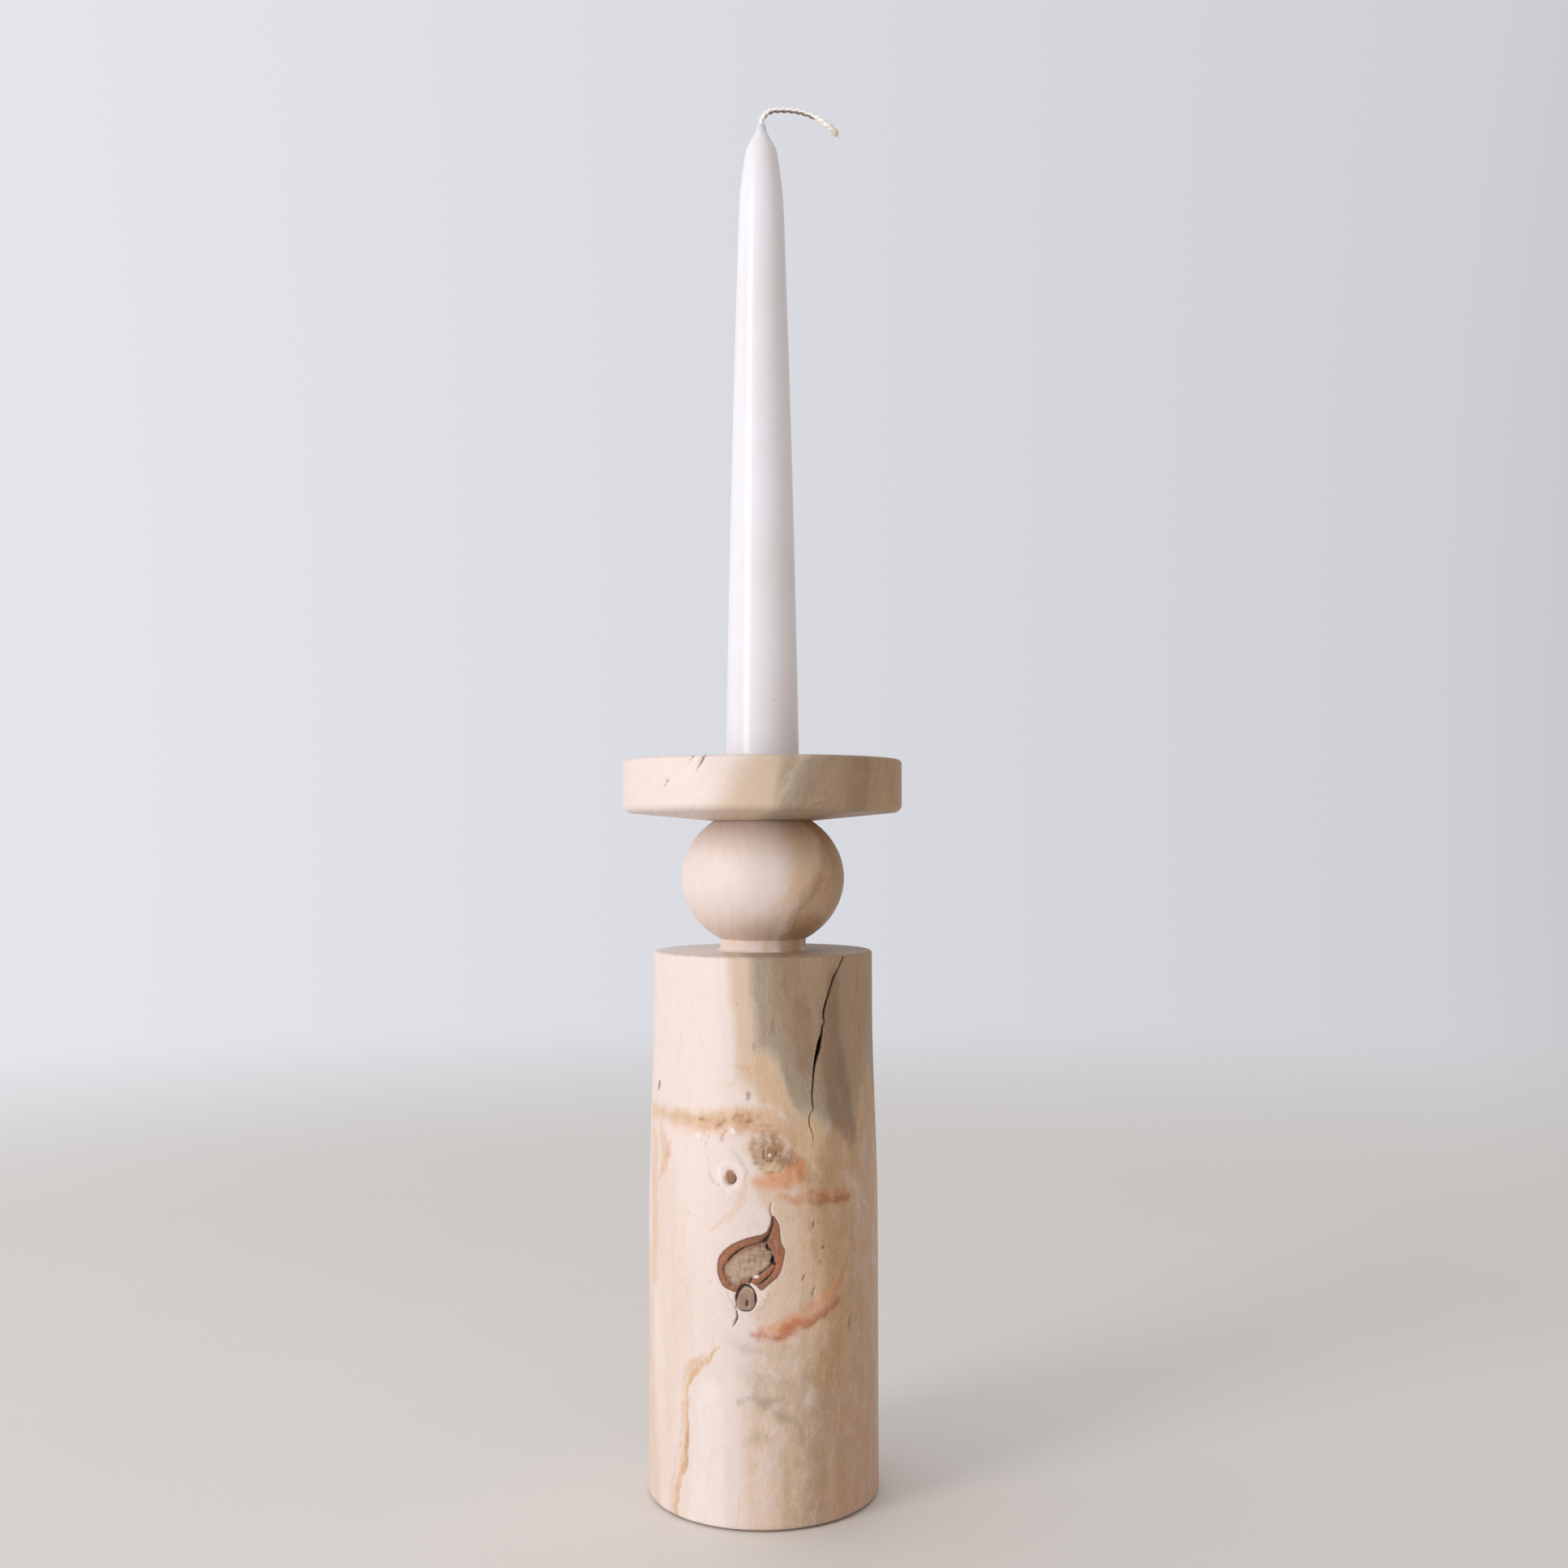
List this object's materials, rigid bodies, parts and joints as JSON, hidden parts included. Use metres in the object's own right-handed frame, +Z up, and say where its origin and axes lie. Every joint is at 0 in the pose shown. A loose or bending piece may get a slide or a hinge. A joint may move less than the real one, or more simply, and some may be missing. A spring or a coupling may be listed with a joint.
{
  "type": "candlestick",
  "caption": "Turned wooden candlestick: stout column, ball neck and round drip plate with a brass cup, holding a tapered dinner candle that lifts out.",
  "frame": {"origin": "centre of the felt pad's underside, on the table, on the turning axis", "axes": "+Z up along the turning axis, towards the candle's tip; +X is the side that the wick curls to; -Y is the front, with the drying crack on its right"},
  "size_m": [0.0834, 0.0834, 0.4132],
  "materials": {
    "spalted_wood": "sanded, oiled, low sheen",
    "beech_dowel": "raw, fluted",
    "cup_brass": "spun, satin",
    "screw_brass": "turned, dull",
    "wool_felt": "pressed wool felt",
    "paraffin_wax": "cast paraffin wax, satin",
    "wick_cotton": "braided cotton, waxed"
  },
  "bodies": {
    "stick": {"column": "spalted_wood", "bead": "spalted_wood", "drip_plate": "spalted_wood", "candle_cup": "cup_brass", "cup_screw": "screw_brass", "dowel": "beech_dowel", "base_pad": "wool_felt"},
    "candle": {"candle": "paraffin_wax", "wick": "wick_cotton"}
  },
  "joints": [
    {"name": "candle_lift", "type": "slide", "parent": "stick", "child": "candle", "axis": [0, 0, 1], "range_m": [0, 0.04]}
  ]
}
